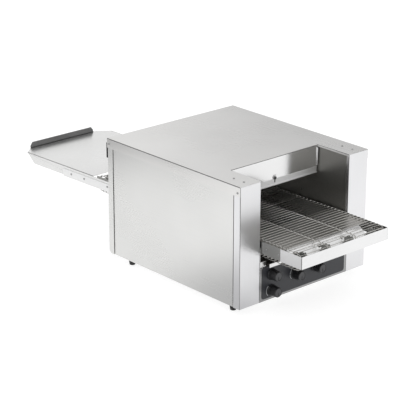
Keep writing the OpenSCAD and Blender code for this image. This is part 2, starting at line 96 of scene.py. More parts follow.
def add_grey_card(name, place, aim, radius, tone, cover):
    """A round grey card with a soft rim, which only the polished sheet mirrors."""
    bpy.ops.mesh.primitive_plane_add(size=2 * radius, location=place)
    card = bpy.context.object
    card.name = name
    card.rotation_euler = (Vector(aim) - Vector(place)).to_track_quat("Z", "Y").to_euler()
    card.visible_camera = card.visible_diffuse = card.visible_shadow = False
    material, link, shader, add = node_graph(name)
    material.node_tree.nodes.remove(shader)
    coords = add("ShaderNodeTexCoord")
    reach = add("ShaderNodeVectorMath", operation="LENGTH")
    link(coords.outputs["Object"], reach.inputs[0])
    rim = add("ShaderNodeMapRange", interpolation_type="SMOOTHERSTEP")
    rim.inputs["From Min"].default_value = radius
    rim.inputs["From Max"].default_value = radius * 0.15
    rim.inputs["To Max"].default_value = cover
    link(reach.outputs["Value"], rim.inputs["Value"])
    clear = add("ShaderNodeBsdfTransparent")
    grey = add("ShaderNodeEmission", Color=(tone, tone, tone * 1.02, 1))
    blend = add("ShaderNodeMixShader")
    link(rim.outputs["Result"], blend.inputs[0])
    link(clear.outputs[0], blend.inputs[1])
    link(grey.outputs[0], blend.inputs[2])
    link(blend.outputs[0], material.node_tree.nodes["Material Output"].inputs["Surface"])
    card.data.materials.append(material)


def add_studio():
    """Even white room and floor, a soft light in front, and grey cards that shape the sheen."""
    world = bpy.data.worlds.new("studio")
    world.use_nodes = True
    bpy.context.scene.world = world
    world.node_tree.nodes["Background"].inputs["Color"].default_value = (1, 1, 1, 1)
    world.node_tree.nodes["Background"].inputs["Strength"].default_value = 1.0
    bpy.context.scene.view_settings.view_transform = "Standard"
    add_softbox("front_card", (1.5, -5.0, 1.6), (0, -0.4, 0.3), (4.0, 3.0), 0.35)
    bpy.ops.mesh.primitive_plane_add(size=60, location=(0, 0, 0))
    floor = bpy.context.object
    floor.name = "floor"
    paint = bpy.data.materials.new("pale_floor")
    paint.use_nodes = True
    shader = paint.node_tree.nodes["Principled BSDF"]
    shader.inputs["Base Color"].default_value = (0.3, 0.3, 0.3, 1)
    shader.inputs["Roughness"].default_value = 0.9
    shader.inputs["Emission Color"].default_value = (1, 1, 1, 1)
    shader.inputs["Emission Strength"].default_value = 0.8
    floor.data.materials.append(paint)
    add_grey_card("foot_card", (-0.45, -0.50, 0.001), (-0.45, -0.50, 1), 0.55, 0.45, 0.75)
    add_grey_card("far_floor_card", (-1.30, 1.25, 0.001), (-1.30, 1.25, 1), 0.9, 0.22, 0.9)
    add_grey_card("bend_card", (-1.2, 2.0, 2.1), (-0.27, 0.1, 0.4), 1.5, 0.12, 0.95)
    add_grey_card("right_card", (2.6, 1.6, 1.0), (0.1, -0.4, 0.4), 1.5, 0.35, 0.6)


# ---- materials ----

def node_graph(name):
    """A new material with its Principled shader and a helper that adds nodes."""
    material = bpy.data.materials.new(name)
    material.use_nodes = True
    tree = material.node_tree
    shader = tree.nodes["Principled BSDF"]

    def add(kind, **values):
        node = tree.nodes.new(kind)
        for key, value in values.items():
            if key in node.inputs:
                node.inputs[key].default_value = value
            else:
                setattr(node, key, value)
        return node

    return material, tree.links.new, shader, add


def ramp(add, low, high, colours):
    """A colour ramp between two positions."""
    node = add("ShaderNodeValToRGB")
    node.color_ramp.elements[0].position = low
    node.color_ramp.elements[1].position = high
    node.color_ramp.elements[0].color = (*colours[0], 1)
    node.color_ramp.elements[1].color = (*colours[1], 1)
    return node


def brushed_steel(name, colour, grain="X", roughness=0.28, spread=0.08, bump=0.02, cloud=0.05):
    """Sheet steel with a fine one-way grain, cloudy sheen and faint handling marks."""
    material, link, shader, add = node_graph(name)
    shader.inputs["Metallic"].default_value = 1.0
    coords = add("ShaderNodeTexCoord")
    stretch = add("ShaderNodeMapping")
    long, fine = 3.0, 900.0
    stretch.inputs["Scale"].default_value = [long if axis == grain else fine for axis in "XYZ"]
    link(coords.outputs["Object"], stretch.inputs["Vector"])
    grain_noise = add("ShaderNodeTexNoise", Scale=1.0, Detail=3.0, Roughness=0.6)
    link(stretch.outputs["Vector"], grain_noise.inputs["Vector"])
    clouds = add("ShaderNodeTexNoise", Scale=3.5, Detail=2.0)
    link(coords.outputs["Object"], clouds.inputs["Vector"])
    low = tuple(c * (1 - cloud) for c in colour)
    high = tuple(min(1.0, c * (1 + cloud)) for c in colour)
    tint = ramp(add, 0.3, 0.7, (low, high))
    mixed = add("ShaderNodeMix", data_type="FLOAT")
    mixed.inputs[0].default_value = 0.25
    link(clouds.outputs["Fac"], mixed.inputs[2])
    link(grain_noise.outputs["Fac"], mixed.inputs[3])
    link(mixed.outputs[0], tint.inputs["Fac"])
    link(tint.outputs["Color"], shader.inputs["Base Color"])
    rough = add("ShaderNodeMapRange")
    rough.inputs["To Min"].default_value = roughness - spread / 2
    rough.inputs["To Max"].default_value = roughness + spread / 2
    link(mixed.outputs[0], rough.inputs["Value"])
    link(rough.outputs["Result"], shader.inputs["Roughness"])
    relief = add("ShaderNodeBump", Strength=bump, Distance=0.001)
    link(grain_noise.outputs["Fac"], relief.inputs["Height"])
    link(relief.outputs["Normal"], shader.inputs["Normal"])
    return material


def moulded(name, colour, roughness=0.45, speckle=900.0, bump=0.08, wear=0.25):
    """Moulded plastic or paint: fine texture with slightly paler rubbed patches."""
    material, link, shader, add = node_graph(name)
    coords = add("ShaderNodeTexCoord")
    texture = add("ShaderNodeTexNoise", Scale=speckle, Detail=2.0)
    patches = add("ShaderNodeTexNoise", Scale=25.0, Detail=3.0)
    link(coords.outputs["Object"], texture.inputs["Vector"])
    link(coords.outputs["Object"], patches.inputs["Vector"])
    paler = tuple(min(1.0, c * (1 + wear) + 0.004) for c in colour)
    tint = ramp(add, 0.35, 0.75, (colour, paler))
    link(patches.outputs["Fac"], tint.inputs["Fac"])
    link(tint.outputs["Color"], shader.inputs["Base Color"])
    rough = add("ShaderNodeMapRange")
    rough.inputs["To Min"].default_value = roughness - 0.08
    rough.inputs["To Max"].default_value = roughness + 0.08
    link(patches.outputs["Fac"], rough.inputs["Value"])
    link(rough.outputs["Result"], shader.inputs["Roughness"])
    relief = add("ShaderNodeBump", Strength=bump, Distance=0.0003)
    link(texture.outputs["Fac"], relief.inputs["Height"])
    link(relief.outputs["Normal"], shader.inputs["Normal"])
    return material


def wool_blanket():
    """Mineral wool: matted fibres in two tones."""
    material, link, shader, add = node_graph("mineral_wool")
    coords = add("ShaderNodeTexCoord")
    fibres = add("ShaderNodeTexNoise", Scale=180.0, Detail=6.0, Distortion=2.0)
    link(coords.outputs["Object"], fibres.inputs["Vector"])
    tint = ramp(add, 0.3, 0.7, ((0.52, 0.46, 0.32), (0.78, 0.73, 0.58)))
    link(fibres.outputs["Fac"], tint.inputs["Fac"])
    link(tint.outputs["Color"], shader.inputs["Base Color"])
    shader.inputs["Roughness"].default_value = 0.95
    relief = add("ShaderNodeBump", Strength=0.7, Distance=0.002)
    link(fibres.outputs["Fac"], relief.inputs["Height"])
    link(relief.outputs["Normal"], shader.inputs["Normal"])
    return material


FINISH = {
    "cover_steel": brushed_steel("cover_steel", (0.70, 0.695, 0.685), "Y", 0.28),
    "side_steel": brushed_steel("side_steel", (0.69, 0.69, 0.68), "Y", 0.28),
    "front_steel": brushed_steel("front_steel", (0.73, 0.73, 0.74), "Z", 0.29),
    "hood_steel": brushed_steel("hood_steel", (0.75, 0.75, 0.75), "X", 0.14, 0.06),
    "guard_steel": brushed_steel("guard_steel", (0.77, 0.77, 0.77), "X", 0.30),
    "rail_steel": brushed_steel("rail_steel", (0.28, 0.28, 0.27), "Y", 0.34),
    "plate_steel": brushed_steel("plate_steel", (0.36, 0.35, 0.33), "X", 0.30, 0.08, cloud=0.12),
    "gate_steel": brushed_steel("gate_steel", (0.72, 0.72, 0.72), "X", 0.50),
    "box_steel": brushed_steel("box_steel", (0.34, 0.34, 0.34), "X", 0.35),
    "tray_steel": brushed_steel("tray_steel", (0.72, 0.72, 0.715), "X", 0.26),
    "tunnel_steel": brushed_steel("tunnel_steel", (0.29, 0.285, 0.27), "Y", 0.42, 0.08, cloud=0.15),
    # Near-black steel: baked-on tint with painted shade, for the casing's inward faces and the crumb tray behind
    # its lip.
    "baked_tint_and_painted_shade": brushed_steel("baked_tint_and_painted_shade", (0.08, 0.077, 0.07), "Y", 0.45, cloud=0.4),
    "belt_wire": brushed_steel("belt_wire", (0.50, 0.49, 0.47), "X", 0.26, cloud=0.2),
    "shaft_steel": brushed_steel("shaft_steel", (0.62, 0.62, 0.61), "X", 0.24),
    "sprocket_steel": brushed_steel("sprocket_steel", (0.22, 0.22, 0.21), "Y", 0.42, cloud=0.3),
    "chain_steel": brushed_steel("chain_steel", (0.34, 0.33, 0.31), "Y", 0.32, cloud=0.3),
    "element_sheath": brushed_steel("element_sheath", (0.16, 0.15, 0.14), "X", 0.55, cloud=0.35),
    # Dark steel for the rounded bends: painted shade drawn as a thin dark line along each fold.
    "painted_bend_shade": brushed_steel("painted_bend_shade", (0.19, 0.19, 0.19), "X", 0.35),
    "dark_screw": brushed_steel("dark_screw", (0.10, 0.10, 0.10), "X", 0.4),
    "fastener_steel": brushed_steel("fastener_steel", (0.36, 0.36, 0.36), "X", 0.3),
    "bronze": brushed_steel("bronze", (0.55, 0.38, 0.18), "X", 0.4, cloud=0.2),
    "graphite_overlay": moulded("graphite_overlay", (0.017, 0.018, 0.022), 0.42, 1500.0, 0.05),
    "black_border": moulded("black_border", (0.012, 0.012, 0.014), 0.35, 1500.0, 0.05),
    # Pale grey for the crescents beside two knobs: a painted highlight.
    "painted_highlight_grey": moulded("painted_highlight_grey", (0.55, 0.56, 0.57), 0.5, 1500.0, 0.03),
    "knob_plastic": moulded("knob_plastic", (0.007, 0.007, 0.008), 0.36, 1200.0, 0.06),
    "knob_face": moulded("knob_face", (0.035, 0.035, 0.038), 0.42, 1200.0, 0.06),
    "stop_coating": moulded("stop_coating", (0.13, 0.13, 0.13), 0.5, 700.0, 0.1),
    # Black: the rear header's finish, and painted shade behind the gate's slot and under the tray stop's blade.
    "black_coating": moulded("black_coating", (0.014, 0.014, 0.014), 0.4, 700.0, 0.1),
    "foot_rubber": moulded("foot_rubber", (0.012, 0.012, 0.012), 0.7, 500.0, 0.25),
    "switch_plastic": moulded("switch_plastic", (0.70, 0.68, 0.60), 0.35),
    "motor_paint": moulded("motor_paint", (0.06, 0.07, 0.075), 0.4, 300.0, 0.15),
    "fan_plastic": moulded("fan_plastic", (0.015, 0.015, 0.016), 0.45),
    "gland_plastic": moulded("gland_plastic", (0.015, 0.015, 0.016), 0.5),
    "mineral_wool": wool_blanket(),
}


# ---- modelling helpers ----

def only(piece):
    """Selects one object alone and makes it active."""
    bpy.ops.object.select_all(action="DESELECT")
    piece.select_set(True)
    bpy.context.view_layer.objects.active = piece


def apply_modifier(piece, kind, **settings):
    """Adds one modifier with its settings and applies it."""
    modifier = piece.modifiers.new(kind.lower(), kind)
    for key, value in settings.items():
        setattr(modifier, key, value)
    only(piece)
    bpy.ops.object.modifier_apply(modifier=modifier.name)


def smooth(piece, degrees=35):
    only(piece)
    bpy.ops.object.shade_smooth_by_angle(angle=math.radians(degrees))


def stand_for(piece, nodes, finish):
    """Fixes a finished piece to its body, gives it its finish and hides the plain nodes."""
    if not piece.data.materials:
        piece.data.materials.append(FINISH[finish])
    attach(piece, BODY_OF[nodes[0]])
    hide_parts(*nodes)
    return piece


def joined(pieces, name):
    """Several meshes made into one object."""
    bpy.ops.object.select_all(action="DESELECT")
    for piece in pieces:
        piece.select_set(True)
    bpy.context.view_layer.objects.active = pieces[0]
    if len(pieces) > 1:
        bpy.ops.object.join()
    pieces[0].name = name
    return pieces[0]


def settled(piece):
    """Puts the object's place, turn and size into its mesh."""
    only(piece)
    bpy.ops.object.transform_apply(location=True, rotation=True, scale=True)
    return piece


def turned(name, profile, steps=32):
    """A lathe shape round Z from (radius, height) points that start and end on the axis."""
    line = wire(name, [(radius * MM, 0, height * MM) for radius, height in profile], 0)
    apply_modifier(line, "SCREW", steps=steps, render_steps=steps, use_merge_vertices=True,
                   merge_threshold=0.01 * MM, use_smooth_shade=False)
    only(line)
    bpy.ops.object.mode_set(mode="EDIT")
    bpy.ops.mesh.select_all(action="SELECT")
    bpy.ops.mesh.remove_doubles(threshold=0.01 * MM)
    bpy.ops.mesh.normals_make_consistent(inside=False)
    bpy.ops.object.mode_set(mode="OBJECT")
    smooth(line)
    return line


def copy_at(pattern, place, out=(0, 0, 1), spin=0.0):
    """A copy of a pattern made round Z, moved to a place with its top turned outwards."""
    piece = bpy.data.objects.new(pattern.name + "_copy", pattern.data.copy())
    bpy.context.scene.collection.objects.link(piece)
    turn = Vector((0, 0, 1)).rotation_difference(Vector(out)).to_matrix().to_4x4()
    piece.data.transform(Matrix.Translation(place) @ turn @ Matrix.Rotation(spin, 4, "Z"))
    return piece


def islands(node):
    """The boxes of a node's separate bodies, each as (lowest corner, highest corner)."""
    piece = bpy.data.objects.new("islands", NODES[node].data.copy())
    bpy.context.scene.collection.objects.link(piece)
    only(piece)
    bpy.ops.object.mode_set(mode="EDIT")
    bpy.ops.mesh.select_all(action="SELECT")
    bpy.ops.mesh.remove_doubles(threshold=0.02 * MM)
    bpy.ops.mesh.separate(type="LOOSE")
    bpy.ops.object.mode_set(mode="OBJECT")
    boxes = []
    for part in list(bpy.context.selected_objects):
        corners = [part.matrix_world @ Vector(corner) for corner in part.bound_box]
        boxes.append((Vector([min(c[i] for c in corners) for i in range(3)]),
                      Vector([max(c[i] for c in corners) for i in range(3)])))
        bpy.data.objects.remove(part)
    return boxes


def broken_edges(piece, width, segments, bends, finish=-1):
    """Bevels a sheet's outer bends, or else its outer cut edges, by one width."""
    wide_enough, shortest, sharp = 5 * MM, 0.8 * MM, math.radians(40)
    shape = bmesh.new()
    shape.from_mesh(piece.data)
    layers = shape.edges.layers.float
    weight = layers.get("bevel_weight_edge") or layers.new("bevel_weight_edge")
    wide = {face: 2 * face.calc_area() / face.calc_perimeter() > wide_enough for face in shape.faces}
    for edge in shape.edges:
        edge[weight] = 0
        if len(edge.link_faces) == 2 and edge.is_convex and edge.calc_length() > shortest:
            if edge.calc_face_angle(0) > sharp and all(wide[face] for face in edge.link_faces) == bends:
                edge[weight] = 1
    shape.to_mesh(piece.data)
    shape.free()
    apply_modifier(piece, "BEVEL", width=width * MM, segments=segments, limit_method="WEIGHT",
                   use_clamp_overlap=False, material=finish)


def formed(node, finish, bend=1.8, cut=0.3, fold="painted_bend_shade"):
    """The sheet or block of one node again, with round bends and lightly broken cut edges."""
    piece = bpy.data.objects.new(node + "_formed", NODES[node].data.copy())
    piece.data.materials.clear()
    piece.data.materials.append(FINISH[finish])
    piece.data.materials.append(FINISH[fold])
    bpy.context.scene.collection.objects.link(piece)
    only(piece)
    bpy.ops.object.mode_set(mode="EDIT")
    bpy.ops.mesh.select_all(action="SELECT")
    bpy.ops.mesh.customdata_custom_splitnormals_clear()
    bpy.ops.mesh.remove_doubles(threshold=0.02 * MM)
    bpy.ops.mesh.dissolve_limited(angle_limit=math.radians(1))
    bpy.ops.object.mode_set(mode="OBJECT")
    # The bevelled bends take the fold finish, by default darker steel as painted shade along each fold.
    broken_edges(piece, bend, 3, True, 1)
    broken_edges(piece, cut, 1, False)
    smooth(piece)
    apply_modifier(piece, "WEIGHTED_NORMAL", keep_sharp=True, weight=80)
    return stand_for(piece, [node], finish)


def paint_faces(piece, finish, chosen):
    """Gives a second finish to the faces that a test picks."""
    piece.data.materials.append(FINISH[finish])
    index = len(piece.data.materials) - 1
    for face in piece.data.polygons:
        if chosen(face):
            face.material_index = index


# ---- casing ----

def make_casing():
    formed("top_cover", "cover_steel")
    for side in ("left", "right"):
        panel = formed(side + "_side_panel", "side_steel")
        inward = 1 if side == "left" else -1
        # The panels' inward faces are near-black as painted shade, so the inner wall's hole reads dark.
        paint_faces(panel, "baked_tint_and_painted_shade", lambda face: face.normal.x * inward > 0.9)
        formed("front_" + side + "_column", "front_steel")
        formed("rear_" + side + "_column", "side_steel")
        formed(side + "_inner_wall", "tunnel_steel")
    formed("rear_header", "black_coating")
    formed("front_hood_wall", "hood_steel")
    formed("rear_hood_wall", "side_steel")
    formed("gate", "gate_steel")
    formed("rear_lower_panel", "side_steel")
    formed("control_box_front", "box_steel")
    formed("control_box_cover", "tray_steel")
    formed("tunnel_roof", "tunnel_steel")
    formed("lower_reflector", "tunnel_steel")


def make_feet():
    """Tapered rubber feet with a rounded sole and the screw's recess."""
    lo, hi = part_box("feet")
    tall = (hi.z - lo.z) / MM
    pattern = turned("foot", [(0, 8), (5.2, 8), (5.2, 0.8), (5.8, 0), (8.2, 0), (9.2, 0.8), (10.4, 9),
                              (12, tall - 2.5), (12, tall - 0.5), (11.5, tall), (0, tall)])
    feet = [copy_at(pattern, ((a.x + b.x) / 2, (a.y + b.y) / 2, lo.z)) for a, b in islands("feet")]
    bpy.data.objects.remove(pattern)
    stand_for(joined(feet, "feet_turned"), ["feet"], "foot_rubber")


def make_insulation():
    """A mineral wool blanket, lumpy and rounded at its edges."""
    lo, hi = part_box("insulation")
    bpy.ops.mesh.primitive_cube_add(size=1, location=(lo + hi) / 2)
    blanket = bpy.context.object
    blanket.scale = hi - lo
    settled(blanket)
    bpy.ops.object.mode_set(mode="EDIT")
    bpy.ops.mesh.subdivide(number_cuts=24)
    bpy.ops.mesh.select_all(action="SELECT")
    bpy.ops.transform.vertex_random(offset=0.0012, uniform=1.0, normal=0.0, seed=4)
    bpy.ops.mesh.vertices_smooth(factor=0.5, repeat=2)
    bpy.ops.object.mode_set(mode="OBJECT")
    smooth(blanket, 60)
    blanket.name = "insulation_blanket"
    stand_for(blanket, ["insulation"], "mineral_wool")


def cross_screw(name, profile, arm):
    """A screw turned from its profile, with a cross recess of a given arm cut into its head."""
    screw = turned(name, profile, 24)
    top = profile[-1][1]
    for angle in (0, 90):
        bpy.ops.mesh.primitive_cube_add(size=1, location=(0, 0, (top - 0.35) * MM),
                                        rotation=(0, 0, math.radians(angle)))
        cutter = bpy.context.object
        cutter.scale = (arm * MM, 0.9 * MM, 1.4 * MM)
        settled(cutter)
        apply_modifier(screw, "BOOLEAN", operation="DIFFERENCE", object=cutter)
        bpy.data.objects.remove(cutter)
    smooth(screw, 30)
    return screw


def make_fasteners():
    """Cross-recess screws and domed rivets, each shape made once."""
    screw_head, rivet_head = 1.2 * MM, 1.4 * MM
    cover_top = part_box("top_cover")[1].z
    screw = cross_screw("pan_screw", [(0, -4), (1.6, -4), (1.6, 0), (3.4, 0), (3.5, 0.5), (3.1, 1.3),
                                      (2.2, 1.75), (0, 1.95)], 4.0)
    screws = []
    for lo, hi in islands("panel_screws"):
        middle = (lo + hi) / 2
        turn = math.radians(20 + 37 * len(screws))
        if hi.z > cover_top:
            screws.append(copy_at(screw, (middle.x, middle.y, cover_top), (0, 0, 1), turn))
        else:
            side = 1 if middle.x > 0 else -1
            face = (hi.x if side > 0 else lo.x) - side * screw_head
            screws.append(copy_at(screw, (face, middle.y, middle.z), (side, 0, 0), turn))
    bpy.data.objects.remove(screw)
    stand_for(joined(screws, "panel_screws_crossed"), ["panel_screws"], "fastener_steel")
    rivet = turned("rivet", [(0, -2), (2, -2), (2, 0), (3.8, 0), (3.6, 0.8), (2.6, 1.5), (1.2, 1.75),
                             (0, 1.8)], 20)
    rivets = []
    for lo, hi in islands("tray_rivets"):
        side = 1 if lo.x > 0 else -1
        face = (hi.x if side > 0 else lo.x) - side * rivet_head
        rivets.append(copy_at(rivet, (face, (lo.y + hi.y) / 2, (lo.z + hi.z) / 2), (side, 0, 0)))
    bpy.data.objects.remove(rivet)
    stand_for(joined(rivets, "tray_rivets_domed"), ["tray_rivets"], "fastener_steel")


def make_gate_screw():
    """The dark screw and nut that hold the gate, and a black strip behind the gate's slot as painted shade in the
    slot.
    """
    lo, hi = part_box("gate_screw")
    screw = cross_screw("gate_screw_crossed", [(0, -10.8), (2, -10.8), (2, 0), (4.9, 0), (5, 0.5),
                                               (5, 2.2), (4.2, 3.1), (3, 3.4), (0, 3.4)], 5.5)
    bpy.ops.mesh.primitive_cylinder_add(vertices=6, radius=4 * MM, depth=3.2 * MM,
                                        location=(0, 0, -4.6 * MM))
    nut = settled(bpy.context.object)
    apply_modifier(nut, "BEVEL", width=0.3 * MM, segments=1, limit_method="ANGLE")
    screw = joined([screw, nut], "gate_screw_crossed")
    middle = (lo + hi) / 2
    screw.data.transform(Matrix.Translation((middle.x, lo.y + 3.4 * MM, middle.z))
                         @ Matrix.Rotation(math.radians(90), 4, "X"))
    stand_for(screw, ["gate_screw"], "dark_screw")
    gap = (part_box("gate")[1].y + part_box("front_hood_wall")[0].y + 4 * MM) / 2
    # A thin black sheet behind the slot is painted shade: the slot's hollow reads dark.
    bpy.ops.mesh.primitive_cube_add(size=1, location=(middle.x, gap, middle.z - 6.6 * MM))
    strip = bpy.context.object
    strip.scale = (4.8 * MM, 0.15 * MM, 17 * MM)
    strip.name = "gate_slot_shade_strip"
    settled(strip).data.materials.append(FINISH["black_coating"])
    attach(strip, "oven")


# ---- controls ----

def make_control_panel():
    """Satin graphite overlay with a thin black border printed inside its edge."""
    panel = formed("control_panel", "black_border", fold="graphite_overlay")
    front = min(v.co.y for v in panel.data.vertices)
    only(panel)
    bpy.ops.object.mode_set(mode="EDIT")
    bpy.ops.mesh.select_all(action="DESELECT")
    bpy.ops.object.mode_set(mode="OBJECT")
    for face in panel.data.polygons:
        face.select = face.normal.y < -0.99 and abs(face.center.y - front) < 0.1 * MM
    bpy.ops.object.mode_set(mode="EDIT")
    bpy.ops.mesh.inset(thickness=2.2 * MM, depth=0, use_boundary=True)
    panel.active_material_index = 1
    bpy.ops.object.material_slot_assign()
    bpy.ops.object.mode_set(mode="OBJECT")


def painted_highlight_arc(place, front):
    """A pale crescent on the panel beside a knob's skirt: a painted highlight of the skirt's edge."""
    points = []
    for step in range(13):
        angle = math.radians(130 + 8 * step)
        points.append((place.x + 20.2 * MM * math.cos(angle), front, place.z + 20.2 * MM * math.sin(angle)))
    mark = wire("painted_highlight_arc", points, 0.8 * MM)
    mark.scale.y = 0.2
    mark.location.y = 0.8 * front
    return settled(mark)


def make_knobs():
    """Knobs with a plain skirt, fluted grip, paler end face and a raised pointer rib."""
    marks = []
    for name in ("top_heat", "bottom_heat", "power", "speed"):
        node = name + "_knob"
        lo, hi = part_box(node)
        place = Vector(JOINTS[node + "_turn"]["pos_m"])
        skirt = (hi.x - lo.x) / 2 / MM
        tall = (place.y - lo.y) / MM
        tip = skirt - 4
        knob = turned(node + "_fluted", [
            (0, -24), (3, -24), (3, 0.4), (skirt - 0.8, 0.4), (skirt, 1), (skirt, 3), (skirt - 0.8, 3.8),
            (skirt - 1.4, 4.4), (skirt - 1.6, 6), (tip + 0.9, tall - 3), (tip + 0.4, tall - 1),
            (tip - 0.4, tall), (tip - 1.6, tall), (tip - 2.0, tall - 0.8), (0, tall - 0.8)], 96)
        for vertex in knob.data.vertices:
            x, y, z = vertex.co
            if 5 * MM < z < (tall - 2) * MM:
                groove = max(0.0, math.cos(24 * math.atan2(y, x)))
                vertex.co.x, vertex.co.y = x * (1 - 0.06 * groove), y * (1 - 0.06 * groove)
        knob.data.update()
        bpy.ops.mesh.primitive_cube_add(size=1, location=(0, -(tip - 2) / 2 * MM, (tall - 0.5) * MM))
        rib = bpy.context.object
        rib.scale = (1.6 * MM, (tip - 2.5) * MM, 1.0 * MM)
        settled(rib)
        apply_modifier(rib, "BEVEL", width=0.25 * MM, segments=2)
        knob.data.materials.append(FINISH["knob_plastic"])
        rib.data.materials.append(FINISH["knob_plastic"])
        knob = joined([knob, rib], node + "_fluted")
        knob.data.transform(Matrix.Translation(place) @ Matrix.Rotation(math.radians(90), 4, "X"))
        front = lo.y
        paint_faces(knob, "knob_face", lambda face: face.normal.y < -0.9
                    and abs(face.center.y - front - 0.8 * MM) < 0.5 * MM)
        smooth(knob, 40)
        stand_for(knob, [node], "knob_plastic")
        # Two knobs get a pale crescent beside the skirt: a painted highlight.
        if name in ("bottom_heat", "power"):
            marks.append(painted_highlight_arc(place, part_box("control_panel")[0].y))
    highlight_piece = joined(marks, "painted_highlight_arcs")
    highlight_piece.data.materials.append(FINISH["painted_highlight_grey"])
    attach(highlight_piece, "oven")


# ---- conveyor ----

class Track:
    """The oval that a belt or chain runs round: two axles of one radius at one height."""

    def __init__(self, front_y, rear_y, axle_z, radius):
        self.front_y, self.rear_y, self.axle_z, self.radius = front_y, rear_y, axle_z, radius
        self.straight = rear_y - front_y
        self.length = 2 * self.straight + 2 * math.pi * radius

    def bent(self, flat):
        """Places given as x, way along the track, height off it, bent round the track."""
        way = np.mod(flat[:, 1], self.length)
        rise = self.radius + flat[:, 2]
        rear = (way - self.straight) / self.radius
        under = way - self.straight - math.pi * self.radius
        front = (under - self.straight) / self.radius
        runs = [way < self.straight, (way >= self.straight) & (under < 0),
                (under >= 0) & (under < self.straight)]
        y = np.select(runs, [self.front_y + way, self.rear_y + rise * np.sin(rear), self.rear_y - under],
                      self.front_y - rise * np.sin(front))
        z = np.select(runs, [rise, rise * np.cos(rear), -rise], -rise * np.cos(front))
        return np.stack([flat[:, 0], y, self.axle_z + z], axis=1)

    def wrap(self, piece):
        """Bends a piece made flat: its y is the way along the track, its z the height off it."""
        mesh = piece.data
        flat = np.empty(len(mesh.vertices) * 3)
        mesh.vertices.foreach_get("co", flat)
        mesh.vertices.foreach_set("co", self.bent(flat.reshape(-1, 3)).ravel())
        mesh.update()


def wire(name, points, radius, resolution=1, closed=False):
    """A round wire along a row of points, as a mesh; a bare line of edges at radius 0."""
    data = bpy.data.curves.new(name, "CURVE")
    data.dimensions = "3D"
    data.bevel_depth = radius
    data.bevel_resolution = resolution
    data.use_fill_caps = True
    line = data.splines.new("POLY")
    line.use_cyclic_u = closed
    line.points.add(len(points) - 1)
    for point, place in zip(line.points, points):
        point.co = (*place, 1)
    piece = bpy.data.objects.new(name, data)
    bpy.context.scene.collection.objects.link(piece)
    only(piece)
    bpy.ops.object.convert(target="MESH")
    return bpy.context.object


AXLE = {end: Vector(JOINTS[end + "_shaft_spin"]["pos_m"]) for end in ("front", "rear")}
BELT_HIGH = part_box("wire_belt")[1]
ROD_R = 1.1 * MM
BELT_TEETH = 10
NOMINAL_PITCH = 15.24 * MM
BELT = Track(AXLE["front"].y, AXLE["rear"].y, AXLE["front"].z,
             NOMINAL_PITCH / (2 * math.sin(math.pi / BELT_TEETH)))
RODS = int(BELT.length / NOMINAL_PITCH)
PITCH = BELT.length / RODS
CHAIN_LOW, CHAIN_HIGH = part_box("drive_chain")
CHAIN_X = (CHAIN_LOW.x + CHAIN_HIGH.x) / 2
CHAIN = Track(AXLE["front"].y, JOINTS["motor_spin"]["pos_m"][1], AXLE["front"].z,
              (CHAIN_HIGH.z - CHAIN_LOW.z) / 2 - 2 * MM)
CHAIN_TEETH = 10
LINK_PITCH = 10.15 * MM


def make_wire_belt():
    """Woven belt: every rod hooks round the one before it at its ends and at two joints."""
    half = BELT_HIGH.x - ROD_R
    joint_x = half / 3

    def edge(side):
        rows = [(7.0, 0.02, 0.0), (3.0, -0.04, 0.5), (0.4, -0.3, 1.6), (0.0, -0.7, 2.4), (0.6, -1.03, 1.9),
                (2.0, -1.165, 0.2), (3.8, -1.08, -1.9), (5.6, -0.88, -2.2)]
        return [(side * (half - inward * MM), way * PITCH, rise * MM) for inward, way, rise in rows]

    def joint(x):
        rows = [(-6.1, 0.0, 0.0), (-3.8, -0.1, 0.0), (-2.9, -0.9, 1.4), (-1.6, -1.165, 0.0),
                (0.0, -1.12, -1.4), (2.9, -0.8, -1.4), (3.8, -0.1, 0.0), (6.1, 0.0, 0.0)]
        return [(x + along * MM, way * PITCH, rise * MM) for along, way, rise in rows]

    path = edge(-1)[::-1] + joint(-joint_x) + joint(joint_x) + edge(1)
    belt = wire("wire_belt_woven", path, ROD_R)
    apply_modifier(belt, "ARRAY", count=RODS, use_relative_offset=False,
                   use_constant_offset=True, constant_offset_displace=(0, PITCH, 0))
    BELT.wrap(belt)
    smooth(belt, 60)
    stand_for(belt, ["wire_belt"], "belt_wire")


def toothed_wheel(name, x, axle, teeth, root, tip, width, hub, first_tip):
    """A toothed disc across X with a hub, its tooth tips at even steps from first_tip degrees."""
    bpy.ops.mesh.primitive_cylinder_add(vertices=teeth * 10, radius=1, depth=width * MM)
    wheel = bpy.context.object
    wheel.name = name
    for vertex in wheel.data.vertices:
        angle = math.atan2(vertex.co.y, vertex.co.x)
        lift = 0.5 + 0.5 * math.cos(teeth * (angle - math.radians(first_tip)))
        reach = root + (tip - root) * min(1.0, max(0.0, (lift - 0.45) * 2.4))
        vertex.co.x, vertex.co.y = reach * MM * math.cos(angle), reach * MM * math.sin(angle)
    wheel.data.update()
    apply_modifier(wheel, "BEVEL", width=0.4 * MM, segments=2, limit_method="ANGLE",
                   angle_limit=math.radians(60))
    bpy.ops.mesh.primitive_cylinder_add(vertices=40, radius=hub * MM, depth=(width + 7) * MM)
    boss = bpy.context.object
    apply_modifier(boss, "BEVEL", width=0.6 * MM, segments=2, limit_method="ANGLE",
                   angle_limit=math.radians(60))
    wheel = joined([wheel, boss], name)
    wheel.data.transform(Matrix.Translation((x, axle.y, axle.z))
                         @ Matrix(((0, 0, 1, 0), (-1, 0, 0, 0), (0, 1, 0, 0), (0, 0, 0, 1))))
    smooth(wheel, 30)
    return wheel


